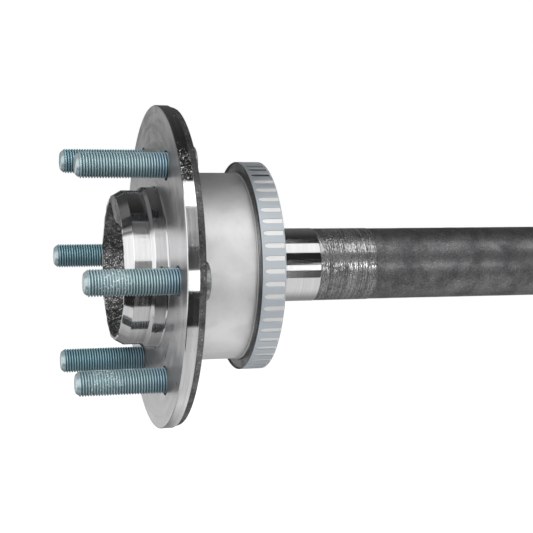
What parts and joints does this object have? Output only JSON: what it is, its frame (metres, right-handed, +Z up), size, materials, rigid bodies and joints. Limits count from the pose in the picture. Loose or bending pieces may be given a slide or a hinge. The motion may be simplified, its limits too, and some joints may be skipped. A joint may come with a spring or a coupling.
{
  "type": "axle shaft",
  "caption": "Semi-floating rear axle shaft: wheel flange with pressed studs, pilot nose, sensor ring, bearing journal and splined end.",
  "frame": {"origin": "centre of the stud circle, on the flange face that the wheel is clamped against", "axes": "+X along the axle, inboard, from the studs to the splined end; +Z up as pictured; +Y away from the camera side"},
  "size_m": [0.9289, 0.182, 0.1818],
  "materials": {
    "forged_steel": "turned and ground on the nose, flange and journal, dark as-forged on the bar",
    "sleeve_steel": "satin drawn steel",
    "ring_zinc": "bluish zinc plate",
    "stud_coating": "blue-green coating, scuffed bright on the crests"
  },
  "bodies": {
    "root": {"axle_shaft": "forged_steel", "sensor_sleeve": "sleeve_steel", "tone_ring": "ring_zinc", "wheel_stud_1": "stud_coating", "wheel_stud_2": "stud_coating", "wheel_stud_3": "stud_coating", "wheel_stud_4": "stud_coating", "wheel_stud_5": "stud_coating", "wheel_stud_6": "stud_coating"}
  },
  "joints": []
}
